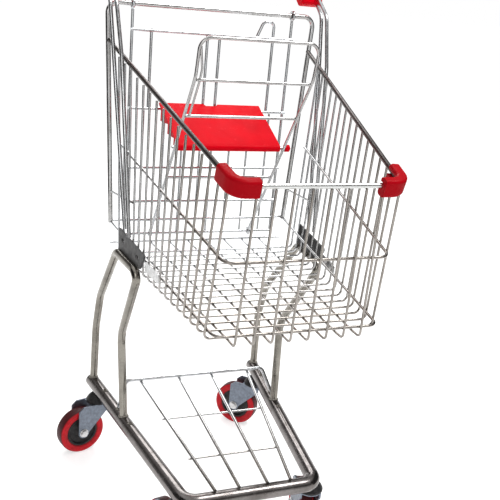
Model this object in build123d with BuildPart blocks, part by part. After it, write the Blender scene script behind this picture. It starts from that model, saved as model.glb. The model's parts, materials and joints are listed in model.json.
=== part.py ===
"""Supermarket shopping cart: wire basket with a folding child seat on a chassis with four casters.

Millimetres. +Z is up, +X is the cart's left-to-right width, -Y is the way it is pushed.
The origin lies on the floor, on the centre plane, midway between the front and rear casters.
"""

import os
from math import atan2, cos, degrees, radians, sin

from build123d import *

os.makedirs("parts", exist_ok=True)

SIDES = {"left": -1, "right": 1}

# ---- wheels and casters
WHEEL_DIAMETER = 100
WHEEL_RADIUS = WHEEL_DIAMETER / 2
TREAD_WIDTH = 28
HUB_RADIUS = 34
CASTER_TRAIL = 41
CASTER_Y = 203
RUNNING_GAP = 0.08
HEADINGS = {"front_left": 100, "front_right": 76, "rear_left": 195, "rear_right": 134}

# ---- chassis
RAIL_RADIUS = 14
RAIL_WALL = 2
RAIL_Z = 141
RAIL_REAR = (190, 241)
RAIL_FRONT = (125, -229)
RAIL_BEND = 28
RAIL_TOP = RAIL_Z + RAIL_RADIUS
RAIL_UNDERSIDE = RAIL_Z - RAIL_RADIUS
FRONT_TUBE_HALF = RAIL_FRONT[0] - 1.2 * RAIL_BEND
LEG_RADIUS = 8
LEG_WALL = 1.5

# ---- basket
WIRE = 2
RING = 2.4
ROD = 4
POST = 4.5
STRUT = 3.5
WELD = 0.2
REAR_Y = 153
FRONT_Y = -337
RIM_REAR = (196, REAR_Y, 866)
RIM_FRONT = (130, FRONT_Y, 728)
RING_REAR = (182, REAR_Y, 531)
RING_FRONT = (136, -324, 500)
RING_BEND = 20
FLOOR_Z = 487
HOOK_BEND = 9
HOOK_REACH = 16
SIDE_WIRES = 16
FRONT_WIRES = 8
FRONT_PITCH = 30

# ---- gate, child seat and handle
HINGE_Z = 929
GATE_WIRE = 2.75
GATE_HALF = 155
BACKREST_HALF = 104
HANDLE_Y = 178
HANDLE_Z = 985
HANDLE_HALF = 208


# ---------------------------------------------------------------- helpers
def mirrored(points):
    """The same points on the other side of the centre plane."""
    return [(-x, y, z) for x, y, z in points]


def on_side(side, points):
    """Points given for the right-hand side, moved to the side asked for."""
    return points if SIDES[side] > 0 else mirrored(points)


def between(start, end, share):
    """The point a share of the way from start to end."""
    return tuple(a + (b - a) * share for a, b in zip(start, end))


def rod(points, radius, bend=0.0, wall=0.0):
    """A round bar, or a tube when a wall is given, along the points with rounded bends."""
    with BuildLine() as run:
        if len(points) > 2:
            FilletPolyline(*points, radius=bend)
        else:
            Line(*points)
    path = run.line
    with BuildSketch(Plane(origin=path @ 0, z_dir=path % 0)) as section:
        Circle(radius)
        if wall:
            Circle(radius - wall, mode=Mode.SUBTRACT)
    return sweep(sections=section.sketch, path=path, mode=Mode.PRIVATE)


def save(part, name):
    """Name the sub-part and write its STEP file."""
    part.part.label = name
    export_step(part.part, f"parts/{name}.step")


def rim_at(y):
    """Centre of the rim rod on the right-hand side at a given y."""
    return between(RIM_REAR, RIM_FRONT, (REAR_Y - y) / (REAR_Y - FRONT_Y))


def ring_at(y):
    """Centre of the lower ring on the right-hand side at a given y."""
    return between(RING_REAR, RING_FRONT, (REAR_Y - y) / (REAR_Y - RING_FRONT[1]))


def wall_x(y, z):
    """How far out the basket's side wall stands at a given place."""
    top_x, _, top_z = rim_at(y)
    low_x, _, low_z = ring_at(y)
    return low_x + (top_x - low_x) * (z - low_z) / (top_z - low_z)


def front_y(z):
    """Where the leaning front wall stands at a given height."""
    low, high = RING_FRONT, RIM_FRONT
    return low[1] + (high[1] - low[1]) * (z - low[2]) / (high[2] - low[2])


def rail_x(y):
    """Centre of the right-hand chassis rail at a given y."""
    share = (RAIL_REAR[1] - y) / (RAIL_REAR[1] - RAIL_FRONT[1])
    return RAIL_REAR[0] + (RAIL_FRONT[0] - RAIL_REAR[0]) * share


# ---------------------------------------------------------------- chassis
CAP_DOME = 3
CAP_PLUG = 12
CAP_EDGE = 1.5
rail_runs = {}
for side in SIDES:
    bend_end = (FRONT_TUBE_HALF, RAIL_FRONT[1], RAIL_Z)
    run = on_side(side, [(*RAIL_REAR, RAIL_Z), (*RAIL_FRONT, RAIL_Z), bend_end])
    with BuildPart() as chassis_rail:
        add(rod(run, RAIL_RADIUS, RAIL_BEND, RAIL_WALL))
    save(chassis_rail, f"chassis_rail_{side}")
    rail_runs[side] = run

with BuildPart() as chassis_front_tube:
    tube_end = (FRONT_TUBE_HALF, RAIL_FRONT[1], RAIL_Z)
    add(rod([mirrored([tube_end])[0], tube_end], RAIL_RADIUS, wall=RAIL_WALL))
save(chassis_front_tube, "chassis_front_tube")

rail_way = Vector(RAIL_REAR[0] - RAIL_FRONT[0], RAIL_REAR[1] - RAIL_FRONT[1], 0).normalized()
with BuildPart() as rail_caps:
    for sign in SIDES.values():
        outward = (sign * rail_way.X, rail_way.Y, 0)
        cap_plane = Plane(origin=(sign * RAIL_REAR[0], RAIL_REAR[1], RAIL_Z), x_dir=(0, 0, 1), z_dir=outward)
        with BuildSketch(cap_plane):
            Circle(RAIL_RADIUS)
        extrude(amount=CAP_DOME)
        with BuildSketch(cap_plane):
            Circle(RAIL_RADIUS - RAIL_WALL)
        extrude(amount=-CAP_PLUG)
    fillet(rail_caps.edges().filter_by(GeomType.CIRCLE).group_by(Axis.Y)[-1], CAP_EDGE)
save(rail_caps, "rail_caps")

# Each side has one long tube bent into a rear leg, a top run under the basket and a front leg.
REAR_FOOT_Y = 233
FRONT_FOOT_Y = 58
FOOT_Z = RAIL_Z + 8
LEG_RUN = [
    (rail_x(REAR_FOOT_Y), REAR_FOOT_Y, FOOT_Z),
    (187, REAR_FOOT_Y, 272),
    (186, 204, 356),
    (187, 74, 496),
    (177, -46, 496),
    (170, 82, 322),
    (rail_x(FRONT_FOOT_Y), FRONT_FOOT_Y, FOOT_Z),
]
LEG_BENDS = [60, 90, 26, 14, 60]
for side in SIDES:
    with BuildPart() as leg:
        add(rod(on_side(side, LEG_RUN), LEG_RADIUS, LEG_BENDS, LEG_WALL))
        foot_cut = on_side(side, [(*RAIL_REAR, RAIL_Z), (rail_x(0), 0, RAIL_Z)])
        add(rod(foot_cut, RAIL_RADIUS), mode=Mode.SUBTRACT)
    save(leg, f"leg_{side}")

# Dark gusset between each leg's top run and the basket, and the bright clip ahead of it.
GUSSET_X = 176.6
GUSSET_THICKNESS = 3
GUSSET_OUTLINE = [(72, 503), (76, 543), (-64, 535), (-42, 503)]
GUSSET_CORNER = 4
GUSSET_SLOTS = [(50, 525), (-28, 520)]
SLOT_LENGTH = 16
SLOT_WIDTH = 7
CLIP_MIDDLE_Y = -91
CLIP_LENGTH = 62
CLIP_HEIGHT = 18
CLIP_CORNER = 4
CLIP_OUTSIDE = 1.2
for side, sign in SIDES.items():
    lean = Vector(sign * (LEG_RUN[3][0] - LEG_RUN[4][0]), LEG_RUN[3][1] - LEG_RUN[4][1], 0).normalized()
    plate_plane = Plane(origin=(sign * GUSSET_X, 0, 0), x_dir=lean, z_dir=(lean.Y, -lean.X, 0))
    with BuildPart() as gusset:
        with BuildSketch(plate_plane):
            with BuildLine():
                FilletPolyline(*GUSSET_OUTLINE, radius=GUSSET_CORNER, close=True)
            make_face()
        extrude(amount=GUSSET_THICKNESS / 2, both=True)
        with BuildSketch(plate_plane):
            with Locations(*GUSSET_SLOTS):
                SlotOverall(SLOT_LENGTH, SLOT_WIDTH)
        extrude(amount=GUSSET_THICKNESS, both=True, mode=Mode.SUBTRACT)
        add(rod(on_side(side, LEG_RUN), LEG_RADIUS, LEG_BENDS), mode=Mode.SUBTRACT)
    save(gusset, f"gusset_{side}")

with BuildPart() as ring_clips:
    for sign in SIDES.values():
        clip_x, _, clip_z = ring_at(CLIP_MIDDLE_Y)
        way = Vector(sign * (RING_REAR[0] - RING_FRONT[0]), RING_REAR[1] - RING_FRONT[1], 0).normalized()
        clip_centre = (sign * (clip_x + RING + 2 * WIRE + CLIP_OUTSIDE), CLIP_MIDDLE_Y, clip_z)
        with BuildSketch(Plane(origin=clip_centre, x_dir=way, z_dir=(way.Y, -way.X, 0))):
            RectangleRounded(CLIP_LENGTH, CLIP_HEIGHT, CLIP_CORNER)
        extrude(amount=1, both=True)
save(ring_clips, "ring_clips")

# ---------------------------------------------------------------- lower rack
RACK_Z = 206
RACK_Y = 106
RACK_HALF = 150
RACK_WIRE = 3
RACK_REAR_X = (36, 118)
RACK_FRONT_X = (27, 72)
RACK_BEND = 14
RACK_FOOT_Y = 84
RACK_FOOT_Z = RAIL_TOP + 2
CROSS_WIRE_SHARES = (0.36, 0.72)
CROSS_WIRE_OVERHANG = 6
rack_foot = (rail_x(RACK_FOOT_Y), RACK_FOOT_Y, RACK_FOOT_Z)
with BuildPart() as rack_bar:
    corner = (RACK_HALF, RACK_Y, RACK_Z)
    run = [rack_foot, corner, mirrored([corner])[0], mirrored([rack_foot])[0]]
    add(rod(run, ROD, RACK_BEND))
save(rack_bar, "rack_bar")

with BuildPart() as rack_wires:
    wires = []
    for sign in SIDES.values():
        for rear_x, front_x in zip(RACK_REAR_X, RACK_FRONT_X):
            rear = (sign * rear_x, RACK_Y + 5, RACK_Z - ROD - RACK_WIRE + WELD)
            front = (sign * front_x, RAIL_FRONT[1], RAIL_TOP + RACK_WIRE - WELD)
            wires.append(rod([rear, front], RACK_WIRE))
    outer_rear = (RACK_REAR_X[1], RACK_Y, RACK_Z - ROD - RACK_WIRE)
    outer_front = (RACK_FRONT_X[1], RAIL_FRONT[1], RAIL_TOP + RACK_WIRE)
    for share in CROSS_WIRE_SHARES:
        outer_x, y, outer_z = between(outer_rear, outer_front, share)
        end = (outer_x + CROSS_WIRE_OVERHANG, y, outer_z - RACK_WIRE - WIRE + WELD)
        wires.append(rod([mirrored([end])[0], end], WIRE))
    add(wires)
save(rack_wires, "rack_wires")

# ---------------------------------------------------------------- rear posts
POST_TOP_X = 199
POST_TOP_Z = HINGE_Z - 20
HINGE_BEND = 19
posts = {}
for side in SIDES:
    with BuildPart() as post:
        run = [(RING_REAR[0], REAR_Y, RING_REAR[2] - RING), (POST_TOP_X, REAR_Y, POST_TOP_Z)]
        add(rod(on_side(side, run), POST))
    save(post, f"rear_post_{side}")
    posts[side] = post

# ---------------------------------------------------------------- basket
OUTSIDE = RING + WIRE - WELD
TOP_FRONT_Y = -325
TOP_REAR_Y = 90
LOW_FRONT_Y = -298
LOW_REAR_Y = 90
MID_REAR = (90, 692)
MID_FRONT_Z = 616
STIFFENER = [(REAR_Y, 591), (22, 603)]
STIFFENER_INSET = OUTSIDE - 2 * WIRE + WELD
LONG_WIRE_Z = FLOOR_Z - 2 * WIRE + WELD
FRONT_HOOK = 24
UNDER_RIM = ROD + 0.5
TOP_INSET = 0.85 * OUTSIDE
FRONT_BEND = 0.9 * RING_BEND
FRONT_SPREAD = 0.94
REAR_SPREAD = 1.3

FLOOR_REAR_Y = REAR_Y + 3

panels = {}
for side in SIDES:
    with BuildPart() as panel:
        wires = []
        for index in range(SIDE_WIRES):
            share = index / (SIDE_WIRES - 1)
            top_y = TOP_FRONT_Y + (TOP_REAR_Y - TOP_FRONT_Y) * share
            low_y = LOW_FRONT_Y + (LOW_REAR_Y - LOW_FRONT_Y) * share
            top_x, _, top_z = rim_at(top_y)
            low_x = wall_x(low_y, FLOOR_Z)
            top = (top_x + TOP_INSET, top_y, top_z - UNDER_RIM)
            run = [top, (low_x + OUTSIDE, low_y, FLOOR_Z), (low_x - HOOK_REACH, low_y, FLOOR_Z)]
            wires.append(rod(on_side(side, run), WIRE, HOOK_BEND))
        mid_start = (wall_x(*MID_REAR), *MID_REAR)
        mid_end_y = front_y(MID_FRONT_Z) + RING_BEND
        mid_end_z = MID_FRONT_Z + (MID_REAR[1] - MID_FRONT_Z) * RING_BEND / (MID_REAR[0] - FRONT_Y)
        mid_end = (wall_x(mid_end_y, mid_end_z), mid_end_y, mid_end_z)
        wires.append(rod(on_side(side, [mid_start, mid_end]), RING))
        low_end = ring_at(RING_FRONT[1] + RING_BEND)
        wires.append(rod(on_side(side, [RING_REAR, low_end]), RING))
        stiffener = [(wall_x(y, z) + STIFFENER_INSET, y, z) for y, z in STIFFENER]
        wires.append(rod(on_side(side, stiffener), WIRE))
        add(wires)
        add(posts[side].part, mode=Mode.SUBTRACT)
    save(panel, f"basket_side_{side}")
    panels[side] = panel

with BuildPart() as basket_front:
    wires = []
    for index in range(FRONT_WIRES):
        offset = (index - (FRONT_WIRES - 1) / 2) * FRONT_PITCH
        top = (offset * FRONT_SPREAD, FRONT_Y - OUTSIDE / 2, RIM_FRONT[2] - UNDER_RIM + WELD)
        corner = (offset, front_y(LONG_WIRE_Z) - OUTSIDE, LONG_WIRE_Z)
        wires.append(rod([top, corner, (offset, corner[1] + FRONT_HOOK, LONG_WIRE_Z)], WIRE, HOOK_BEND))
    for height, end in ((MID_FRONT_Z, mid_end), (RING_FRONT[2], low_end)):
        y = front_y(height)
        corner = (wall_x(y, height), y, height)
        run = [end, corner, mirrored([corner])[0], mirrored([end])[0]]
        wires.append(rod(run, RING, FRONT_BEND))
    add(wires)
save(basket_front, "basket_front")

with BuildPart() as basket_floor:
    wires = []
    for index in range(FRONT_WIRES):
        offset = (index - (FRONT_WIRES - 1) / 2) * FRONT_PITCH
        start = (offset, front_y(LONG_WIRE_Z) - OUTSIDE + FRONT_HOOK, LONG_WIRE_Z)
        wires.append(rod([start, (offset * REAR_SPREAD, FLOOR_REAR_Y + 3, LONG_WIRE_Z)], WIRE))
    for index in range(SIDE_WIRES):
        low_y = LOW_FRONT_Y + (LOW_REAR_Y - LOW_FRONT_Y) * index / (SIDE_WIRES - 1)
        half = wall_x(low_y, FLOOR_Z) - HOOK_REACH
        wires.append(rod([(-half, low_y, FLOOR_Z), (half, low_y, FLOOR_Z)], WIRE))
    end = (RING_REAR[0], FLOOR_REAR_Y, FLOOR_Z)
    wires.append(rod([mirrored([end])[0], end], WIRE))
    add(wires)
save(basket_floor, "basket_floor")

# ---------------------------------------------------------------- rim
# Two sloping rods, the thick chromed bar across the front and the moulded corners.
rims = {}
for side in SIDES:
    with BuildPart() as rim:
        add(rod(on_side(side, [RIM_REAR, RIM_FRONT]), ROD))
        add(posts[side].part, mode=Mode.SUBTRACT)
    save(rim, f"rim_{side}")
    rims[side] = rim

with BuildPart() as front_bar:
    bar_end = (RIM_FRONT[0] - ROD, FRONT_Y, RIM_FRONT[2])
    add(rod([mirrored([bar_end])[0], bar_end], ROD))
save(front_bar, "front_bar")

BUMPER_HEIGHT = 28
BUMPER_DEPTH = 17
BUMPER_REACH_Y = -296
BUMPER_REACH_X = 96
BUMPER_BEND = 20
BUMPER_CORNER = 5
BUMPER_OFFSET = (1.5, 2)
ROD_SLOT_HEIGHT = 2 * ROD + 0.6
for side, sign in SIDES.items():
    inner_end = (BUMPER_REACH_X, FRONT_Y, RIM_FRONT[2])
    run = on_side(side, [rim_at(BUMPER_REACH_Y), RIM_FRONT, inner_end])
    with BuildPart() as bumper:
        with BuildLine() as wrap:
            FilletPolyline(*run, radius=BUMPER_BEND)
        outward = Vector(sign, 0, 0)
        forward = wrap.line % 0
        across = outward - forward * forward.dot(outward)
        with BuildSketch(Plane(origin=wrap.line @ 0, x_dir=across, z_dir=forward)) as section:
            with Locations((BUMPER_OFFSET[0], -sign * BUMPER_OFFSET[1])):
                RectangleRounded(BUMPER_DEPTH, BUMPER_HEIGHT, BUMPER_CORNER)
            with Locations((-BUMPER_CORNER, 0)):
                Rectangle(2 * BUMPER_CORNER, ROD_SLOT_HEIGHT, mode=Mode.SUBTRACT)
        sweep(sections=section.sketch, path=wrap.line)
        add(rims[side].part, mode=Mode.SUBTRACT)
        add(front_bar.part, mode=Mode.SUBTRACT)
        add(basket_front.part, mode=Mode.SUBTRACT)
        add(panels[side].part, mode=Mode.SUBTRACT)
    save(bumper, f"bumper_{side}")

# ---------------------------------------------------------------- hinge bar, struts and handle
with BuildPart() as hinge_bar:
    low = (POST_TOP_X, REAR_Y, POST_TOP_Z)
    top = (POST_TOP_X, REAR_Y, HINGE_Z)
    add(rod([low, top, mirrored([top])[0], mirrored([low])[0]], POST, HINGE_BEND))
save(hinge_bar, "hinge_bar")

STOP_GAP = 0.3
with BuildPart() as gate_stop_bar:
    stop_end = (RING_REAR[0], REAR_Y + GATE_WIRE + RING + STOP_GAP, RING_REAR[2])
    add(rod([mirrored([stop_end])[0], stop_end], RING))
    for post in posts.values():
        add(post.part, mode=Mode.SUBTRACT)
save(gate_stop_bar, "gate_stop_bar")

STRUTS = {
    "front": [(182, 8, 545), (193.5, 62, 846), (198, 96, 935), (200, HANDLE_Y - 16, HANDLE_Z - 8)],
    "rear": [(183.5, 36, 552), (198.5, 103, 852), (202, 124, 932), (203, HANDLE_Y - 4, HANDLE_Z - 14)],
}
STRUT_BEND = 30
struts = {}
for side in SIDES:
    for place, run in STRUTS.items():
        with BuildPart() as strut:
            add(rod(on_side(side, run), STRUT, STRUT_BEND))
        save(strut, f"strut_{place}_{side}")
        struts[place, side] = strut

HANDLE_RADIUS = 10
HANDLE_WALL = 2
TUBE_HALF = HANDLE_HALF - 10
with BuildPart() as handle_tube:
    tube_end = (TUBE_HALF, HANDLE_Y, HANDLE_Z)
    add(rod([mirrored([tube_end])[0], tube_end], HANDLE_RADIUS, wall=HANDLE_WALL))
save(handle_tube, "handle_tube")

GRIP_HALF = 168
GRIP_RADIUS = 14.5
GRIP_EDGE = 2
with BuildPart() as handle_grip:
    grip_end = (GRIP_HALF, HANDLE_Y, HANDLE_Z)
    add(rod([mirrored([grip_end])[0], grip_end], GRIP_RADIUS))
    fillet(handle_grip.edges(), GRIP_EDGE)
    with Locations((0, HANDLE_Y, HANDLE_Z)):
        Cylinder(HANDLE_RADIUS, 2 * GRIP_HALF, rotation=(0, 90, 0), mode=Mode.SUBTRACT)
save(handle_grip, "handle_grip")

END_WIDTH = 42
END_MIDDLE = HANDLE_HALF - END_WIDTH / 2 + 4
END_EDGE = 4
END_OUTLINE = [(-34, -32), (-22, 12), (4, 19), (21, 2), (12, -20), (-12, -38)]
END_ROUNDS = [7, 12, 12, 12, 12, 7]
for side, sign in SIDES.items():
    with BuildPart() as handle_end:
        end_plane = Plane(origin=(sign * END_MIDDLE, HANDLE_Y, HANDLE_Z), x_dir=(0, 1, 0), z_dir=(1, 0, 0))
        with BuildSketch(end_plane):
            with BuildLine():
                FilletPolyline(*END_OUTLINE, radius=END_ROUNDS, close=True)
            make_face()
        extrude(amount=END_WIDTH / 2, both=True)
        fillet(handle_end.faces().filter_by(Axis.X).edges(), END_EDGE)
        with Locations((sign * TUBE_HALF / 2, HANDLE_Y, HANDLE_Z)):
            Cylinder(HANDLE_RADIUS, TUBE_HALF, rotation=(0, 90, 0), mode=Mode.SUBTRACT)
        for place in STRUTS:
            add(struts[place, side].part, mode=Mode.SUBTRACT)
    save(handle_end, f"handle_end_{side}")

# ---------------------------------------------------------------- swinging rear gate
GATE_TOP_Z = 886
LEG_HOLE_Z = 748
INNER_WIRE = 119
MIDDLE_WIRE = 12
GATE_LOW_Z = 506
LOOP_TOP_Z = 915
LOOP_TOP_WIDTH = 21
LOOP_FOOT_WIDTH = 34
LOOP_BEND = 10
CROSS_Y = REAR_Y - 2 * GATE_WIRE + WELD
GRILLE_Y = CROSS_Y + GATE_WIRE + WIRE - WELD
CURL = POST + RUNNING_GAP + GATE_WIRE
OVERHANG = 3
GRILLE_HEIGHTS = (637, 571, 534, GATE_LOW_Z)
GRILLE_OFFSETS = (12, 49, 86, 127)
GATE_FOOT_Z = GATE_LOW_Z - 4


def gate_upright(x, y, top_z, low_z, radius):
    """One vertical wire of the gate."""
    return rod([(x, y, top_z), (x, y, low_z)], radius)


def gate_cross_wire(z):
    """One horizontal wire of the gate, a little longer than the gate is wide."""
    end = (GATE_HALF + OVERHANG, CROSS_Y, z)
    return rod([mirrored([end])[0], end], GATE_WIRE)


with BuildPart() as gate_frame:
    wires = []
    for sign in SIDES.values():
        wires.append(gate_upright(sign * GATE_HALF, REAR_Y, HINGE_Z - CURL, GATE_FOOT_Z, GATE_WIRE))
        for x in (INNER_WIRE, MIDDLE_WIRE):
            top_z = GATE_TOP_Z + OVERHANG
            wires.append(gate_upright(sign * x, REAR_Y, top_z, LEG_HOLE_Z - OVERHANG, GATE_WIRE))
    for z in (GATE_TOP_Z, LEG_HOLE_Z):
        wires.append(gate_cross_wire(z))
    loop = [
        (INNER_WIRE, REAR_Y, GATE_TOP_Z),
        (INNER_WIRE, REAR_Y, LOOP_TOP_Z),
        (INNER_WIRE - LOOP_TOP_WIDTH, REAR_Y, LOOP_TOP_Z),
        (INNER_WIRE - LOOP_FOOT_WIDTH, REAR_Y, GATE_TOP_Z - 2),
    ]
    wires.append(rod(loop, GATE_WIRE, LOOP_BEND))
    add(wires)
    for sign in SIDES.values():
        with Locations((sign * GATE_HALF, REAR_Y, HINGE_Z)):
            Torus(CURL, GATE_WIRE, rotation=(0, 90, 0))
save(gate_frame, "gate_frame")

with BuildPart() as gate_grille:
    wires = []
    for z in GRILLE_HEIGHTS:
        wires.append(gate_cross_wire(z))
    for sign in SIDES.values():
        for x in GRILLE_OFFSETS:
            wires.append(gate_upright(sign * x, GRILLE_Y, LEG_HOLE_Z - 4, GATE_FOOT_Z, WIRE))
    add(wires)
save(gate_grille, "gate_grille")

# ---------------------------------------------------------------- child-seat backrest
PIVOT = (CROSS_Y, GATE_LOW_Z)
BEND = (-65, 836)
BACK_TOP = (-77, 897)
BACK_CURL = GATE_WIRE + RUNNING_GAP + GATE_WIRE
BACK_BENDS = [40, 20, 20, 40]
BACK_WIRE_HEIGHTS = (640, 765, BEND[1] - 6)
INSET_WIRE_X = BACKREST_HALF - 9
INSET_WIRE_BENDS = [4, 14]


def back_y(z):
    """Where the backrest's side wires run at a given height below their bend."""
    return PIVOT[0] + (BEND[0] - PIVOT[0]) * (z - PIVOT[1]) / (BEND[1] - PIVOT[1])


back_way = Vector(0, BEND[0] - PIVOT[0], BEND[1] - PIVOT[1]).normalized()
with BuildPart() as backrest_frame:
    foot = (BACKREST_HALF, PIVOT[0] + back_way.Y * BACK_CURL, PIVOT[1] + back_way.Z * BACK_CURL)
    bend = (BACKREST_HALF, *BEND)
    top = (BACKREST_HALF, *BACK_TOP)
    run = [foot, bend, top, mirrored([top])[0], mirrored([bend])[0], mirrored([foot])[0]]
    add(rod(run, GATE_WIRE, BACK_BENDS))
    for sign in SIDES.values():
        with Locations((sign * BACKREST_HALF, *PIVOT)):
            Torus(BACK_CURL, GATE_WIRE, rotation=(0, 90, 0))
save(backrest_frame, "backrest_frame")

SEAT_HINGE_Z = 700
BEHIND = 2 * GATE_WIRE - WELD
SEAT_HINGE = (back_y(SEAT_HINGE_Z) + BEHIND * back_way.Z, SEAT_HINGE_Z - BEHIND * back_way.Y)
with BuildPart() as backrest_wires:
    end = BACKREST_HALF - GATE_WIRE + WELD
    levels = [(back_y(z), z) for z in BACK_WIRE_HEIGHTS]
    wires = [rod([(-end, *level), (end, *level)], GATE_WIRE) for level in levels]
    inset_run = [
        (-INSET_WIRE_X, *levels[1]),
        (-INSET_WIRE_X, *levels[2]),
        (-INSET_WIRE_X, BEND[0] - 3, BEND[1] + 12),
        (-end, BACK_TOP[0] + 3, BACK_TOP[1] - 14),
    ]
    wires.append(rod(inset_run, WIRE, INSET_WIRE_BENDS))
    add(wires)
    add(backrest_frame.part, mode=Mode.SUBTRACT)
save(backrest_wires, "backrest_wires")

HINGE_WIRE_LEFT = -BACKREST_HALF - 4
HINGE_WIRE_RIGHT = BACKREST_HALF + 16
with BuildPart() as seat_hinge_wire:
    add(rod([(HINGE_WIRE_LEFT, *SEAT_HINGE), (HINGE_WIRE_RIGHT, *SEAT_HINGE)], GATE_WIRE))
save(seat_hinge_wire, "seat_hinge_wire")

# ---------------------------------------------------------------- folding seat plate
SEAT_LENGTH = 131
SEAT_REAR_Z = 754
SEAT_RISE = SEAT_REAR_Z - SEAT_HINGE[1]
SEAT_SLOPE = degrees(atan2(SEAT_RISE, (SEAT_LENGTH**2 - SEAT_RISE**2) ** 0.5))
SEAT_THICKNESS = 4
SEAT_FRONT_HALF = 98
SEAT_REAR_HALF = 100
BARREL_RADIUS = 6.5
SEAT_UNDERSIDE = BARREL_RADIUS - SEAT_THICKNESS
NOTCH_OUTER = 14
NOTCH_INNER = 10
NOTCH_DEPTH = 6
NOTCH_ROUND = 2
RIB_OFFSETS = (-45, 0, 45)
RIB_THICKNESS = 3
RIB_DEPTH = 4
RIB_LENGTH = SEAT_LENGTH - 34
# The skirt under each side edge is a row of teeth: distance behind the hinge of each tooth's
# deep rear edge and of its shallow front end, then the depth of the rear edge.
TEETH = ((111, 67, 26), (63, 27, 20), (23, 2, 19))
TOOTH_TIP = 5
TOOTH_X = 96.5
TOOTH_THICKNESS = 3


def seat_rise(distance):
    """Height above the hinge of the seat plate's lower half at a distance behind the hinge."""
    slope = radians(SEAT_SLOPE)
    return distance * sin(slope) / cos(slope) + (SEAT_UNDERSIDE + 1) / cos(slope)


seat_plane = Plane(
    origin=(0, *SEAT_HINGE),
    x_dir=(1, 0, 0),
    z_dir=(0, -sin(radians(SEAT_SLOPE)), cos(radians(SEAT_SLOPE))),
)
with BuildPart(seat_plane) as seat_plate:
    with BuildSketch(seat_plane.offset(SEAT_UNDERSIDE)):
        with BuildLine():
            notch_mouth = (NOTCH_OUTER, SEAT_LENGTH)
            Polyline((0, 0), (SEAT_FRONT_HALF, 0), (SEAT_REAR_HALF, SEAT_LENGTH), notch_mouth)
            FilletPolyline(
                notch_mouth,
                (NOTCH_INNER, SEAT_LENGTH - NOTCH_DEPTH),
                (0, SEAT_LENGTH - NOTCH_DEPTH),
                radius=NOTCH_ROUND,
            )
            mirror(about=Plane.YZ)
        make_face()
    extrude(amount=SEAT_THICKNESS)
    with BuildSketch(Plane.YZ):
        with Locations(SEAT_HINGE):
            Circle(BARREL_RADIUS)
    extrude(amount=SEAT_FRONT_HALF, both=True)
    for sign in SIDES.values():
        with BuildSketch(Plane(origin=(sign * TOOTH_X, *SEAT_HINGE), x_dir=(0, 1, 0), z_dir=(1, 0, 0))):
            for rear, front, depth in TEETH:
                with BuildLine():
                    Polyline(
                        (rear, seat_rise(rear)),
                        (rear, seat_rise(rear) - depth),
                        (front, seat_rise(front) - TOOTH_TIP),
                        (front, seat_rise(front)),
                        close=True,
                    )
                make_face()
        extrude(amount=TOOTH_THICKNESS / 2, both=True)
    for x in RIB_OFFSETS:
        with Locations((x, SEAT_LENGTH / 2, SEAT_UNDERSIDE - RIB_DEPTH / 2)):
            Box(RIB_THICKNESS, RIB_LENGTH, RIB_DEPTH)
    with BuildSketch(Plane.YZ):
        with Locations(SEAT_HINGE):
            Circle(GATE_WIRE + RUNNING_GAP)
    extrude(amount=SEAT_REAR_HALF, both=True, mode=Mode.SUBTRACT)
save(seat_plate, "seat_plate")

KNOB_MIDDLE = BACKREST_HALF + 9.5
KNOB_LENGTH = 10
KNOB_EDGE = 2
with BuildPart() as seat_knob:
    with BuildSketch(Plane.YZ.offset(KNOB_MIDDLE)):
        with Locations(SEAT_HINGE):
            Circle(BARREL_RADIUS)
            Circle(GATE_WIRE + RUNNING_GAP, mode=Mode.SUBTRACT)
    extrude(amount=KNOB_LENGTH / 2, both=True)
    round_edges = seat_knob.edges().filter_by(GeomType.CIRCLE)
    fillet(round_edges.filter_by(lambda edge: edge.radius > GATE_WIRE + 1), KNOB_EDGE)
save(seat_knob, "seat_knob")

# ---------------------------------------------------------------- casters
CROWN_TOP = 111.6
CROWN_THICKNESS = 3
FORK_PLATE = 3
FORK_INSIDE = TREAD_WIDTH / 2 + 2.5
STEM_RADIUS = 6
AXLE_RADIUS = 4
BOLT_HEAD_RADIUS = 7.5
BOLT_HEAD_HEIGHT = 5
STEM_NUT_RADIUS = 10
STEM_NUT_HEIGHT = 4
CROWN_RADIUS = 23
CROWN_MIDDLE = 3.5
CROWN_LENGTH = 41
FORK_BACK = -17
FORK_FRONT = 42
FORK_END_RADIUS = 12
CUP_RADIUS = 25
CUP_BASE_Z = CROWN_TOP + 0.4
CUP_TOP_Z = RAIL_UNDERSIDE + 2
HUB_HALF = 11
BOSS_RADIUS = 11
DISH_DEPTH = 4
DISH_OUTER = HUB_RADIUS - 5
DISH_INNER = 15
TREAD_SHOULDER = 6


def fork_plate_face():
    """Side view of one fork plate: wide at the crown, narrowing to a round end at the axle."""
    with BuildLine() as outline:
        top_back = (FORK_BACK, CROWN_TOP)
        tip_front = (CASTER_TRAIL + FORK_END_RADIUS, WHEEL_RADIUS)
        tip_back = (CASTER_TRAIL - FORK_END_RADIUS, WHEEL_RADIUS)
        Polyline(top_back, (FORK_FRONT, CROWN_TOP), (FORK_FRONT + 11, CROWN_TOP - 10), tip_front)
        RadiusArc(tip_front, tip_back, FORK_END_RADIUS)
        Polyline(tip_back, (FORK_BACK, CROWN_TOP - 12), top_back)
    make_face(outline.edges())


def caster_planes(place):
    """Floor plane, upright plane along the fork and wheel plane of one caster."""
    end, side = place.split("_")
    caster_y = CASTER_Y if end == "rear" else -CASTER_Y
    turned = Vector(cos(radians(HEADINGS[place])), sin(radians(HEADINGS[place])), 0)
    base = Plane(origin=(SIDES[side] * rail_x(caster_y), caster_y, 0), x_dir=turned, z_dir=(0, 0, 1))
    upright = Plane(origin=base.origin, x_dir=turned, z_dir=-base.y_dir)
    axle_centre = base.origin + turned * CASTER_TRAIL + Vector(0, 0, WHEEL_RADIUS)
    return base, upright, Plane(origin=axle_centre, x_dir=turned, z_dir=-base.y_dir)


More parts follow.
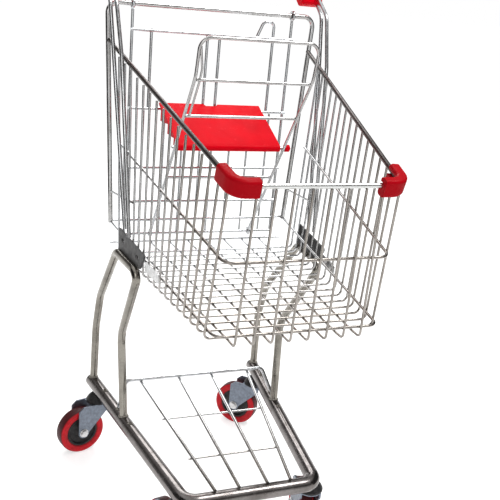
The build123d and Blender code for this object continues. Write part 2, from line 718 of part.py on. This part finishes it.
CASTERS = {place: caster_planes(place) for place in HEADINGS}
NUT_Z = CROWN_TOP - CROWN_THICKNESS - STEM_NUT_HEIGHT - 0.4

with BuildPart() as caster_cups:
    for base, upright, _ in CASTERS.values():
        with BuildSketch(upright):
            with BuildLine():
                low_inner = (STEM_RADIUS, CUP_BASE_Z)
                brim = (CUP_RADIUS, CROWN_TOP + 4)
                crest = (CUP_RADIUS - 12, CUP_TOP_Z)
                Polyline(low_inner, (CUP_RADIUS, CUP_BASE_Z), brim)
                ThreePointArc(brim, (CUP_RADIUS - 4, CUP_TOP_Z - 7), crest)
                Polyline(crest, (STEM_RADIUS, CUP_TOP_Z), low_inner)
            make_face()
        revolve(axis=Axis(base.origin, (0, 0, 1)))
    for side in SIDES:
        add(rod(rail_runs[side], RAIL_RADIUS, RAIL_BEND), mode=Mode.SUBTRACT)
save(caster_cups, "caster_cups")

with BuildPart() as caster_stems:
    for base, _, _ in CASTERS.values():
        with BuildSketch(base.offset(NUT_Z)):
            Circle(STEM_RADIUS)
        extrude(amount=RAIL_UNDERSIDE - NUT_Z)
        with BuildSketch(base.offset(NUT_Z)):
            RegularPolygon(STEM_NUT_RADIUS, 6)
        extrude(amount=STEM_NUT_HEIGHT)
save(caster_stems, "caster_stems")

for place, (base, upright, axle) in CASTERS.items():
    with BuildPart() as fork:
        for way in (-1, 1):
            with BuildSketch(upright.offset(way * (FORK_INSIDE + FORK_PLATE / 2))):
                fork_plate_face()
            extrude(amount=FORK_PLATE / 2, both=True)
        with BuildSketch(base.offset(CROWN_TOP - CROWN_THICKNESS)):
            with Locations((CROWN_MIDDLE, 0)):
                Rectangle(CROWN_LENGTH, 2 * FORK_INSIDE)
        extrude(amount=CROWN_THICKNESS)
        with BuildSketch(base.offset(CROWN_TOP - CROWN_THICKNESS)):
            Circle(CROWN_RADIUS)
        extrude(amount=CROWN_THICKNESS)
        with BuildSketch(base):
            Circle(STEM_RADIUS + RUNNING_GAP)
        extrude(amount=RAIL_UNDERSIDE, mode=Mode.SUBTRACT)
        with BuildSketch(axle):
            Circle(AXLE_RADIUS)
        extrude(amount=2 * FORK_INSIDE, both=True, mode=Mode.SUBTRACT)
    save(fork, f"fork_{place}")

    grip = FORK_INSIDE + FORK_PLATE
    with BuildPart() as axle_bolt:
        with BuildSketch(axle):
            Circle(AXLE_RADIUS)
        extrude(amount=grip + 2, both=True)
        for way in (-1, 1):
            with BuildSketch(axle.offset(way * grip)):
                RegularPolygon(BOLT_HEAD_RADIUS, 6)
            extrude(amount=way * BOLT_HEAD_HEIGHT)
    save(axle_bolt, f"axle_bolt_{place}")

    with BuildPart() as hub:
        with BuildSketch(axle):
            Circle(HUB_RADIUS)
        extrude(amount=HUB_HALF, both=True)
        with BuildSketch(axle):
            Circle(BOSS_RADIUS)
        extrude(amount=FORK_INSIDE - 0.4, both=True)
        for way in (-1, 1):
            with BuildSketch(axle.offset(way * HUB_HALF)):
                Circle(DISH_OUTER)
                Circle(DISH_INNER, mode=Mode.SUBTRACT)
            extrude(amount=-way * DISH_DEPTH, mode=Mode.SUBTRACT)
        with BuildSketch(axle):
            Circle(AXLE_RADIUS + RUNNING_GAP)
        extrude(amount=2 * FORK_INSIDE, both=True, mode=Mode.SUBTRACT)
    save(hub, f"wheel_hub_{place}")

    with BuildPart() as tread:
        with BuildSketch(axle):
            Circle(WHEEL_RADIUS)
        extrude(amount=TREAD_WIDTH / 2, both=True)
        fillet(tread.edges(), TREAD_SHOULDER)
        with BuildSketch(axle):
            Circle(HUB_RADIUS)
        extrude(amount=TREAD_WIDTH, both=True, mode=Mode.SUBTRACT)
    save(tread, f"wheel_tread_{place}")
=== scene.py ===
"""Looks of the supermarket shopping cart: chromed wires and tubes, red plastic, rolling casters."""

import math

import bmesh
import bpy
from mathutils import Matrix, Vector
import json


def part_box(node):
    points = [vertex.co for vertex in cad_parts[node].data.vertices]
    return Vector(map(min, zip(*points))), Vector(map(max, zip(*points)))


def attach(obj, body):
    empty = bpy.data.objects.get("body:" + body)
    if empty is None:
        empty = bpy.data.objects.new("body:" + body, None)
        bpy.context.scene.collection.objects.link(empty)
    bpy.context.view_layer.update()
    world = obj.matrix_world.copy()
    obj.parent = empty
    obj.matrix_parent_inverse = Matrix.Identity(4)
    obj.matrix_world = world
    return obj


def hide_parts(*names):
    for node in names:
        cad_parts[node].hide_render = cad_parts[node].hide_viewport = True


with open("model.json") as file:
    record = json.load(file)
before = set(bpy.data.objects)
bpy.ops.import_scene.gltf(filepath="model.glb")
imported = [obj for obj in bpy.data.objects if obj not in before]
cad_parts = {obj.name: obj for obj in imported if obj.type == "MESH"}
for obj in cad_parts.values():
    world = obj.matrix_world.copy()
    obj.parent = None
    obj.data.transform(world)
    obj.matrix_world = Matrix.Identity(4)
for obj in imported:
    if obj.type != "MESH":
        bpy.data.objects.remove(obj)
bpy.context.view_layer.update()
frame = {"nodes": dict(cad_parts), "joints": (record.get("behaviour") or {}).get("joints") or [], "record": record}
NODES = frame["nodes"]
RECORD = frame["record"]
JOINTS = {joint["name"]: joint for joint in frame["joints"]}
CASTERS = ("front_left", "front_right", "rear_left", "rear_right")


# ---------------------------------------------------------------- material helpers
class Shader:
    """A material being built: short calls that add a node and link it."""

    def __init__(self, name):
        self.material = bpy.data.materials.new(name)
        self.material.use_nodes = True
        self.nodes = self.material.node_tree.nodes
        self.links = self.material.node_tree.links
        self.surface = self.nodes["Principled BSDF"]
        self.place = self.nodes.new("ShaderNodeTexCoord").outputs["Object"]

    def set(self, **values):
        """Fixed values on the surface shader's sockets."""
        for key, value in values.items():
            self.surface.inputs[key.replace("_", " ")].default_value = value

    def noise(self, scale, detail=4.0, roughness=0.5, stretch=(1, 1, 1)):
        """A noise of the given scale per metre, stretched along the axes."""
        mapping = self.nodes.new("ShaderNodeMapping")
        mapping.inputs["Scale"].default_value = stretch
        self.links.new(self.place, mapping.inputs["Vector"])
        noise = self.nodes.new("ShaderNodeTexNoise")
        noise.inputs["Scale"].default_value = scale
        noise.inputs["Detail"].default_value = detail
        noise.inputs["Roughness"].default_value = roughness
        self.links.new(mapping.outputs["Vector"], noise.inputs["Vector"])
        return noise.outputs["Fac"]

    def ramp(self, value, low, high, start=0.0, end=1.0):
        """The value, mapped from low..high to start..end and clamped."""
        mapped = self.nodes.new("ShaderNodeMapRange")
        mapped.inputs["From Min"].default_value = low
        mapped.inputs["From Max"].default_value = high
        mapped.inputs["To Min"].default_value = start
        mapped.inputs["To Max"].default_value = end
        self.links.new(value, mapped.inputs["Value"])
        return mapped.outputs["Result"]

    def math(self, operation, first, second):
        """One arithmetic step; either side is a socket or a number."""
        node = self.nodes.new("ShaderNodeMath")
        node.operation = operation
        for socket, value in zip(node.inputs, (first, second)):
            if isinstance(value, (int, float)):
                socket.default_value = value
            else:
                self.links.new(value, socket)
        return node.outputs["Value"]

    def mix(self, share, first, second):
        """One colour turning into another as the share goes from 0 to 1."""
        node = self.nodes.new("ShaderNodeMix")
        node.data_type = "RGBA"
        self.links.new(share, node.inputs["Factor"])
        for socket, value in ((node.inputs[6], first), (node.inputs[7], second)):
            if isinstance(value, tuple):
                socket.default_value = (*value, 1)
            else:
                self.links.new(value, socket)
        return node.outputs[2]

    def along(self, axis, centre):
        """Signed distance in metres from the centre along an axis."""
        shift = self.nodes.new("ShaderNodeVectorMath")
        shift.operation = "SUBTRACT"
        self.links.new(self.place, shift.inputs[0])
        shift.inputs[1].default_value = centre
        dot = self.nodes.new("ShaderNodeVectorMath")
        dot.operation = "DOT_PRODUCT"
        self.links.new(shift.outputs["Vector"], dot.inputs[0])
        dot.inputs[1].default_value = axis
        return dot.outputs["Value"]

    def colour(self, socket):
        self.links.new(socket, self.surface.inputs["Base Color"])

    def roughness(self, socket):
        self.links.new(socket, self.surface.inputs["Roughness"])

    def bump(self, height, distance, strength=1.0):
        """Surface relief of the given depth in metres."""
        bump = self.nodes.new("ShaderNodeBump")
        bump.inputs["Distance"].default_value = distance
        bump.inputs["Strength"].default_value = strength
        self.links.new(height, bump.inputs["Height"])
        self.links.new(bump.outputs["Normal"], self.surface.inputs["Normal"])


# Sizes of the surface detail. The scales are in features per metre and the depths in metres.
TARNISH_SCALE = 22
PIT_SCALE = 420
PIT_COLOUR = (0.10, 0.07, 0.05)
HAZE_SCALE = 90
SCRATCH_SCALE = 260
SCRATCH_DEPTH = 0.00012
# Painted shade on the wires: where the darkening starts and ends along y, and how dark it gets.
FRONT_SHADE_START_Y = 0.10
FRONT_SHADE_END_Y = -0.24
FRONT_SHADE_SHARE = 0.55

CLOUD_SCALE = 14
SCUFF_SCALE = 150
SCUFF_AREA_SCALE = 26
SCUFF_COLOUR = (0.84, 0.07, 0.08)
MOULD_GRAIN_SCALE = 1400
MOULD_GRAIN_DEPTH = 0.00015

DUST_SCALE = 70
DUST_COLOUR = (0.09, 0.08, 0.075)
NYLON_GRAIN_SCALE = 900
NYLON_GRAIN_DEPTH = 0.0002

MOTTLE_SCALE = 160
PRESS_MARK_SCALE = 380
PRESS_MARK_DEPTH = 0.0002

FLOOR_DIRT_SCALE = 90
TREAD_GRAIN_SCALE = 700
TREAD_GRAIN_DEPTH = 0.0003
RUNNING_FACE_EDGE = (0.0100, 0.0130)


def darker(colour, share):
    """The same colour at a share of its brightness."""
    return tuple(channel * share for channel in colour)


def chrome(name, bright, dull, rough, grime, front=None):
    """Plated steel: bright metal with duller brownish patches and fine handling scratches.

    With a front colour given, the metal grows darker towards the front of the cart: painted
    shade, standing in for the darker surroundings that the front wires mirror.
    """
    shader = Shader(name)
    shader.set(Metallic=1.0)
    patches = shader.ramp(shader.noise(TARNISH_SCALE, detail=6, roughness=0.65), 0.5 - grime, 0.78)
    specks = shader.ramp(shader.noise(PIT_SCALE, detail=2), 0.60, 0.72)
    worn = shader.mix(patches, bright, dull)
    if front:
        # Painted shade: the metal's colour darkens towards the front of the cart.
        forward = shader.ramp(shader.along((0, 1, 0), (0, 0, 0)), FRONT_SHADE_START_Y, FRONT_SHADE_END_Y)
        front_shaded = shader.mix(patches, front, darker(front, FRONT_SHADE_SHARE))
        worn = shader.mix(forward, worn, front_shaded)
    shader.colour(shader.mix(shader.math("MULTIPLY", specks, 0.5), worn, PIT_COLOUR))
    haze = shader.ramp(shader.noise(HAZE_SCALE, detail=5), 0.35, 0.75, rough, rough * 2.4)
    shader.roughness(haze)
    shader.bump(shader.noise(SCRATCH_SCALE, detail=3, stretch=(1, 1, 0.15)), SCRATCH_DEPTH, 0.35)
    return shader.material


def red_plastic(name, base, scuffs, gloss):
    """Moulded plastic: fine grain, faint cloudiness and pale scuffs from use."""
    shader = Shader(name)
    shader.set(IOR=1.3, Specular_IOR_Level=gloss)
    cloud = shader.ramp(shader.noise(CLOUD_SCALE, detail=5), 0.3, 0.75)
    body = shader.mix(cloud, base, darker(base, 0.72))
    marks = shader.math(
        "MULTIPLY",
        shader.ramp(shader.noise(SCUFF_SCALE, detail=6, roughness=0.7), 0.58, 0.72),
        shader.ramp(shader.noise(SCUFF_AREA_SCALE, detail=3), 0.45, 0.65, 0.0, scuffs),
    )
    shader.colour(shader.mix(marks, body, SCUFF_COLOUR))
    shader.roughness(shader.ramp(shader.noise(60, detail=6), 0.3, 0.7, 0.30, 0.52))
    shader.bump(shader.noise(MOULD_GRAIN_SCALE, detail=2), MOULD_GRAIN_DEPTH, 0.5)
    return shader.material


def black_plastic(name, base):
    """Moulded nylon: near black with a dusty film and a fine grain."""
    shader = Shader(name)
    shader.set(Specular_IOR_Level=0.25)
    dust = shader.ramp(shader.noise(DUST_SCALE, detail=6, roughness=0.7), 0.45, 0.8, 0.0, 0.5)
    shader.colour(shader.mix(dust, base, DUST_COLOUR))
    shader.roughness(shader.ramp(shader.noise(120, detail=4), 0.3, 0.7, 0.38, 0.6))
    shader.bump(shader.noise(NYLON_GRAIN_SCALE, detail=3), NYLON_GRAIN_DEPTH, 0.5)
    return shader.material


def pressed_steel(name, base, rough):
    """Zinc-plated pressed steel: blue-grey, softly mottled, brushed by the press."""
    shader = Shader(name)
    shader.set(Metallic=0.85)
    mottling = shader.ramp(shader.noise(MOTTLE_SCALE, detail=5, roughness=0.6), 0.3, 0.7)
    shader.colour(shader.mix(mottling, base, darker(base, 0.62)))
    shader.roughness(shader.ramp(shader.noise(240, detail=5), 0.3, 0.7, rough, rough + 0.18))
    shader.bump(shader.noise(PRESS_MARK_SCALE, detail=4, stretch=(0.3, 0.3, 1)), PRESS_MARK_DEPTH, 0.4)
    return shader.material


def tread_rubber(name, centre, axis):
    """Cast red tyre: clean bright sides, and a running surface darkened by floor dirt."""
    shader = Shader(name)
    across = shader.math("ABSOLUTE", shader.along(axis, centre), 0.0)
    side = shader.ramp(across, *RUNNING_FACE_EDGE)
    shader.set(Specular_IOR_Level=0.2)
    grime = shader.noise(FLOOR_DIRT_SCALE, detail=6, roughness=0.7)
    running = shader.mix(grime, (0.085, 0.003, 0.006), (0.018, 0.006, 0.006))
    flank = shader.mix(shader.ramp(grime, 0.45, 0.8), (0.50, 0.006, 0.014), (0.20, 0.008, 0.010))
    shader.colour(shader.mix(side, running, flank))
    shader.roughness(shader.ramp(shader.noise(200, detail=5), 0.3, 0.7, 0.36, 0.6))
    shader.bump(shader.noise(TREAD_GRAIN_SCALE, detail=4), TREAD_GRAIN_DEPTH, 0.5)
    return shader.material


# Linear colours: the clean metal first, then its dull patches.
TUBE = ((0.52, 0.52, 0.52), (0.26, 0.25, 0.23))
WIRE = ((0.56, 0.575, 0.59), (0.33, 0.325, 0.32))
# Colour of the front wires: painted shade for the darker reflections there.
WIRE_FRONT_SHADE = (0.33, 0.305, 0.28)
# Rim, leg and rail: the same chrome painted darker, as painted shade for the dark surroundings they mirror.
RIM = ((0.085, 0.075, 0.072), (0.04, 0.035, 0.032))
LEG = ((0.27, 0.255, 0.225), (0.11, 0.10, 0.085))
RAIL = ((0.20, 0.185, 0.18), (0.09, 0.08, 0.075))
FRONT_BAR = ((0.60, 0.61, 0.60), (0.44, 0.44, 0.43))

MATERIALS = {
    "chrome_tube": chrome("chromed_tube", *TUBE, rough=0.10, grime=0.05),
    "chrome_wire": chrome("chromed_wire", *WIRE, rough=0.13, grime=0.06, front=WIRE_FRONT_SHADE),
    "red_plastic": red_plastic("red_plastic", (0.62, 0.0004, 0.008), scuffs=0.55, gloss=0.08),
    "black_hub": black_plastic("black_hub", (0.012, 0.012, 0.013)),
    "black_cap": black_plastic("black_cap", (0.010, 0.010, 0.011)),
    "fork_steel": pressed_steel("fork_steel", (0.22, 0.25, 0.30), rough=0.32),
    "bolt_steel": pressed_steel("bolt_steel", (0.72, 0.72, 0.72), rough=0.22),
    "weld": pressed_steel("weld_steel", (0.30, 0.28, 0.25), rough=0.35),
    "gusset_grey": black_plastic("gusset_grey", (0.045, 0.045, 0.045)),
}

# Nodes that look different from the rest of their slot: the rim rods, rails and legs are darker than
# the wires, as painted shade for the dark surroundings they mirror; the front bar is brighter; and the
# bumpers are a deeper red than the seat, as painted shade on their faces turned from the light.
SPECIAL = {
    "rim": chrome("chromed_rim", *RIM, rough=0.16, grime=0.08),
    "leg": chrome("chromed_leg", *LEG, rough=0.12, grime=0.08),
    # Painted shade: the bumpers' deeper red stands in for the shade on their front and side faces.
    "bumper": red_plastic("red_bumper", (0.34, 0.0004, 0.005), scuffs=0.18, gloss=0.10),
    "chassis_rail": chrome("chromed_rail", *RAIL, rough=0.14, grime=0.08),
    "front_bar": chrome("chromed_front_bar", *FRONT_BAR, rough=0.12, grime=0.0),
}
SPECIAL["chassis_front_tube"] = SPECIAL["chassis_rail"]


def dress_nodes():
    """Gives every node of the frame the material of its slot."""
    for entry in RECORD["subparts"]:
        node = NODES[entry["node"]]
        slot_name = entry["material_slot"]
        if slot_name == "red_tread":
            place = entry["node"].replace("wheel_tread_", "")
            roll = JOINTS["roll_" + place]
            material = tread_rubber("tread_" + place, roll["pos_m"], roll["axis"])
        else:
            family = entry["node"].removesuffix("_left").removesuffix("_right")
            material = SPECIAL.get(family, MATERIALS[slot_name])
        for index in range(len(node.data.materials)):
            node.data.materials[index] = material


dress_nodes()


# ---------------------------------------------------------------- mesh helpers
SHARP_EDGE = math.radians(35)
RING_STEPS = 112
CORNER_STEPS = 6


def bridge(shape, rings):
    """Faces between each ring of points and the next, and between the last ring and the first."""
    for first, second in zip(rings, rings[1:] + rings[:1]):
        for step in range(len(first)):
            after = (step + 1) % len(first)
            shape.faces.new((first[step], first[after], second[after], second[step]))


def finish_mesh(name, shape, material):
    """Turns a bmesh into a smooth-shaded object that keeps its sharp edges."""
    bmesh.ops.recalc_face_normals(shape, faces=shape.faces)
    mesh = bpy.data.meshes.new(name)
    shape.to_mesh(mesh)
    shape.free()
    for face in mesh.polygons:
        face.use_smooth = True
    mesh.set_sharp_from_angle(angle=SHARP_EDGE)
    mesh.materials.append(material)
    piece = bpy.data.objects.new(name, mesh)
    bpy.context.collection.objects.link(piece)
    return piece


def turned(name, profile, centre, axis, material, segments=RING_STEPS):
    """A closed ring turned about an axis from (distance along the axis, radius) points."""
    axis = Vector(axis).normalized()
    side = axis.cross(Vector((0, 0, 1))).normalized()
    top = side.cross(axis)
    shape = bmesh.new()
    rings = []
    for along, radius in profile:
        ring = []
        for step in range(segments):
            turn = 2 * math.pi * step / segments
            spoke = side * math.cos(turn) + top * math.sin(turn)
            ring.append(shape.verts.new(Vector(centre) + axis * along + spoke * radius))
        rings.append(ring)
    bridge(shape, rings)
    return finish_mesh(name, shape, material)


def arc(centre_along, centre_radius, size, start, end):
    """Points of a rounded corner in a turned profile; angles in degrees from the axis direction."""
    points = []
    for step in range(CORNER_STEPS + 1):
        turn = math.radians(start + (end - start) * step / CORNER_STEPS)
        points.append((centre_along + size * math.cos(turn), centre_radius + size * math.sin(turn)))
    return points


# ---------------------------------------------------------------- wheels
WHEEL_RADIUS = 0.050
HUB_RADIUS = 0.034
TREAD_HALF = 0.014
BORE = 0.0041


def both_faces(half_profile):
    """A profile given for one face of a wheel, closed by the same points on the other face."""
    return half_profile + [(-along, radius) for along, radius in reversed(half_profile)]


def tread_profile():
    """Rounded shoulder, a shallow step round the side, and the seat on the hub."""
    shoulder = 0.006
    outer = list(reversed(arc(TREAD_HALF - shoulder, WHEEL_RADIUS - shoulder, shoulder, 0, 90)))
    flank = [
        (TREAD_HALF, 0.0425),
        (TREAD_HALF - 0.0006, 0.0418),
        (TREAD_HALF - 0.0010, 0.0372),
        (TREAD_HALF - 0.0016, 0.0362),
        (TREAD_HALF - 0.0030, HUB_RADIUS),
    ]
    return both_faces(outer + flank)


def hub_profile():
    """Rim lip, dished web and long boss of the hub."""
    lip, web, boss = 0.0116, 0.0070, 0.0161
    return both_faces([
        (0.0108, HUB_RADIUS),
        (lip, HUB_RADIUS - 0.0006),
        (lip, 0.0306),
        (lip - 0.0006, 0.0298),
        (web + 0.0008, 0.0288),
        (web, 0.0278),
        (web, 0.0176),
        (web + 0.0006, 0.0166),
        (boss - 0.0010, 0.0112),
        (boss, 0.0102),
        (boss, BORE + 0.0005),
        (boss - 0.0005, BORE),
    ])


def washer_profile():
    """Thin steel washer between a fork plate's outside and the axle's hexagon."""
    inner, outer = 0.0197, 0.0206
    return [(inner, 0.0042), (outer, 0.0042), (outer, 0.0092), (outer - 0.0003, 0.0096), (inner, 0.0096)]


def wheels():
    """The four wheels, built round the axles that the frame's roll joints state."""
    for place in CASTERS:
        roll = JOINTS["roll_" + place]
        centre, axis = roll["pos_m"], roll["axis"]
        rubber = NODES["wheel_tread_" + place].data.materials[0]
        tread = turned("tread_" + place, tread_profile(), centre, axis, rubber)
        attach(tread, "wheel_" + place)
        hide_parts("wheel_tread_" + place)
        hub = turned("hub_" + place, hub_profile(), centre, axis, MATERIALS["black_hub"])
        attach(hub, "wheel_" + place)
        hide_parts("wheel_hub_" + place)


wheels()


# ---------------------------------------------------------------- washers and welds
WASHER_STEPS = 48
RAIL_RADIUS = 0.014
LEG_RADIUS = 0.008
BEAD_RADIUS = 0.0021
BEAD_STEPS = 72
BEAD_SIDES = 10
# Share of the bead's radius, ripples in a turn, and phase.
BEAD_RIPPLES = ((0.16, 17, 0), (0.10, 5, 1))
LUG_RADIUS = 0.0026
LUG_SHARES = (0.40, 0.86, 1.20)
# The stretch of a tube counted as its foot, and how far behind a leg's middle its two feet part.
FOOT_HEIGHT = 0.012
FEET_DIVIDE = 0.06


def washers():
    """A washer under each axle's two hexagons, on the outside of the fork plates."""
    for place in CASTERS:
        roll = JOINTS["roll_" + place]
        for face, way in (("near", 1), ("far", -1)):
            axis = Vector(roll["axis"]) * way
            name = f"washer_{face}_{place}"
            steel = MATERIALS["bolt_steel"]
            washer = turned(name, washer_profile(), roll["pos_m"], axis, steel, WASHER_STEPS)
            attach(washer, "swivel_" + place)


def node_points(name, keep):
    """The corners of a node's mesh, in metres, that pass a test."""
    node = NODES[name]
    points = [node.matrix_world @ vertex.co for vertex in node.data.vertices]
    return [point for point in points if keep(point)]


def foot_of(name, keep):
    """Middle of the lowest stretch of a tube that stands on a rail."""
    points = node_points(name, keep)
    lowest = min(point.z for point in points)
    near = [point for point in points if point.z < lowest + FOOT_HEIGHT]
    return sum(near, Vector()) / len(near)


def weld_bead(name, foot, tube_radius, rail_way, rail_z):
    """A rippled bead of weld where an upright tube stands on a rail."""
    shape = bmesh.new()
    across = Vector((-rail_way.y, rail_way.x, 0))
    rings = []
    for step in range(BEAD_STEPS):
        turn = 2 * math.pi * step / BEAD_STEPS
        outward = rail_way * math.cos(turn) + across * math.sin(turn)
        ripple = 1 + sum(size * math.sin(turn * count + phase) for size, count, phase in BEAD_RIPPLES)
        aside = tube_radius * math.sin(turn)
        height = rail_z + math.sqrt(RAIL_RADIUS**2 - aside**2)
        middle = Vector((foot.x, foot.y, height)) + outward * tube_radius
        ring = []
        for side in range(BEAD_SIDES):
            lean = 2 * math.pi * side / BEAD_SIDES
            offset = outward * math.cos(lean) + Vector((0, 0, 1)) * math.sin(lean)
            ring.append(shape.verts.new(middle + offset * BEAD_RADIUS * ripple))
        rings.append(ring)
    bridge(shape, rings)
    bead = finish_mesh(name, shape, MATERIALS["weld"])
    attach(bead, "cart")


def welds():
    """Beads where the legs and the rack bar stand on the rails, and small lugs along the rails.

    The lugs stand at shares of the way from the rear leg's foot to the front leg's foot.
    """
    for side, sign in (("left", -1), ("right", 1)):
        low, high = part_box("chassis_rail_" + side)
        rail_z = (low[2] + high[2]) / 2
        leg_low, leg_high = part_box("leg_" + side)
        divide_y = (leg_low[1] + leg_high[1]) / 2 + FEET_DIVIDE
        rear = foot_of("leg_" + side, lambda point: point.y > divide_y)
        front = foot_of("leg_" + side, lambda point: point.y < divide_y)
        rack = foot_of("rack_bar", lambda point: point.x * sign > 0)
        rail_way = Vector((rear.x - front.x, rear.y - front.y, 0)).normalized()
        weld_bead("weld_rear_leg_" + side, rear, LEG_RADIUS, rail_way, rail_z)
        weld_bead("weld_front_leg_" + side, front, LEG_RADIUS, rail_way, rail_z)
        weld_bead("weld_rack_" + side, rack, LEG_RADIUS / 2, rail_way, rail_z)
        for index, share in enumerate(LUG_SHARES):
            weld_bead(f"weld_lug_{index}_{side}", rear.lerp(front, share), LUG_RADIUS, rail_way, rail_z)


washers()
welds()


# ---------------------------------------------------------------- floor, light and camera
FLOOR_RADIUS = 40.0
FLOOR_STEPS = 64
# Name, place, width and power in watts.
LIGHTS = (
    ("key_light", (0.9, -0.5, 2.7), 1.0, 46),
    ("fill_light", (-1.0, -2.0, 1.5), 1.2, 10),
    ("back_light", (0.4, 2.2, 2.2), 1.6, 34),
)
LIGHT_TARGET = Vector((0, 0, 0.5))
FLAGS = (("flag_left", -1.7), ("flag_right", 1.9))
FLAG_HEIGHT = 1.8
FLAG_HALF_LENGTH = 1.3
# Sine of the angle above the horizon, and the colour there.
SKY = (
    (0.00, (1.0, 1.0, 1.0)),
    (0.13, (0.97, 0.97, 0.97)),
    (0.26, (0.10, 0.09, 0.08)),
    (0.50, (0.24, 0.23, 0.23)),
    (0.85, (1.0, 1.0, 1.0)),
)


def stage_mesh(name, corners, material):
    """One flat face of the studio, standing outside the model."""
    mesh = bpy.data.meshes.new(name)
    mesh.from_pydata(corners, [], [tuple(range(len(corners)))])
    mesh.materials.append(material)
    piece = bpy.data.objects.new(name, mesh)
    bpy.context.collection.objects.link(piece)
    return piece


def floor():
    """A plain pale floor out to the horizon."""
    paint = Shader("studio_floor")
    paint.set(
        Base_Color=(0.62, 0.62, 0.62, 1),
        Roughness=1.0,
        Specular_IOR_Level=0.0,
        Emission_Color=(1, 1, 1, 1),
        Emission_Strength=0.62,
    )
    turns = [2 * math.pi * step / FLOOR_STEPS for step in range(FLOOR_STEPS)]
    corners = [(FLOOR_RADIUS * math.cos(turn), FLOOR_RADIUS * math.sin(turn), 0) for turn in turns]
    stage_mesh("studio_floor", corners, paint.material)


def lights():
    """Three large soft lights aimed at the middle of the cart."""
    for name, place, size, power in LIGHTS:
        light = bpy.data.lights.new(name, "AREA")
        light.size = size
        light.energy = power
        lamp = bpy.data.objects.new(name, light)
        lamp.location = place
        lamp.rotation_euler = (LIGHT_TARGET - Vector(place)).to_track_quat("-Z", "Y").to_euler()
        bpy.context.collection.objects.link(lamp)


def flags():
    """Black cards beside the cart that only the polished metal mirrors, so its edges read dark."""
    black = Shader("flag_black")
    black.set(Base_Color=(0.02, 0.02, 0.02, 1), Roughness=1.0)
    for name, x in FLAGS:
        corners = [
            (x, -FLAG_HALF_LENGTH, 0),
            (x, FLAG_HALF_LENGTH, 0),
            (x, FLAG_HALF_LENGTH, FLAG_HEIGHT),
            (x, -FLAG_HALF_LENGTH, FLAG_HEIGHT),
        ]
        flag = stage_mesh(name, corners, black.material)
        flag.visible_camera = False
        flag.visible_diffuse = False
        flag.visible_shadow = False


def surround():
    """A pale horizon, a darker band above it for the metal to mirror, and a white ceiling."""
    world = bpy.data.worlds.new("surround")
    bpy.context.scene.world = world
    world.use_nodes = True
    tree = world.node_tree
    background = tree.nodes["Background"]
    coords = tree.nodes.new("ShaderNodeTexCoord")
    split = tree.nodes.new("ShaderNodeSeparateXYZ")
    ramp = tree.nodes.new("ShaderNodeValToRGB")
    tree.links.new(coords.outputs["Generated"], split.inputs[0])
    tree.links.new(split.outputs["Z"], ramp.inputs[0])
    tree.links.new(ramp.outputs[0], background.inputs["Color"])
    stops = ramp.color_ramp.elements
    while len(stops) < len(SKY):
        stops.new(1.0)
    for stop, (height, shade) in zip(stops, SKY):
        stop.position = height
        stop.color = (*shade, 1)


CAMERA_PLACE = (-0.5222, -1.2945, 0.9826)
CAMERA_YAW = math.radians(22.99)
CAMERA_PITCH = math.radians(21.22)
CAMERA_ROLL = math.radians(5.47)
CAMERA_LENS = 57.19
CAMERA_SHIFT = (0.029, 0.080)
NEAR_CLIP = 0.05


def camera():
    """The view from the front left, above the rim, looking down into the basket."""
    forward = Vector((
        math.sin(CAMERA_YAW) * math.cos(CAMERA_PITCH),
        math.cos(CAMERA_YAW) * math.cos(CAMERA_PITCH),
        -math.sin(CAMERA_PITCH),
    ))
    level = Vector((math.cos(CAMERA_YAW), -math.sin(CAMERA_YAW), 0))
    above = level.cross(forward)
    right = level * math.cos(CAMERA_ROLL) + above * math.sin(CAMERA_ROLL)
    up = above * math.cos(CAMERA_ROLL) - level * math.sin(CAMERA_ROLL)
    data = bpy.data.cameras.new("camera")
    data.lens = CAMERA_LENS
    data.shift_x, data.shift_y = CAMERA_SHIFT
    data.clip_start = NEAR_CLIP
    eye = bpy.data.objects.new("camera", data)
    facing = Matrix((right, up, -forward)).transposed().to_4x4()
    eye.matrix_world = Matrix.Translation(CAMERA_PLACE) @ facing
    bpy.context.collection.objects.link(eye)
    bpy.context.scene.camera = eye


floor()
lights()
flags()
surround()
camera()
bpy.context.scene.view_settings.view_transform = "Standard"
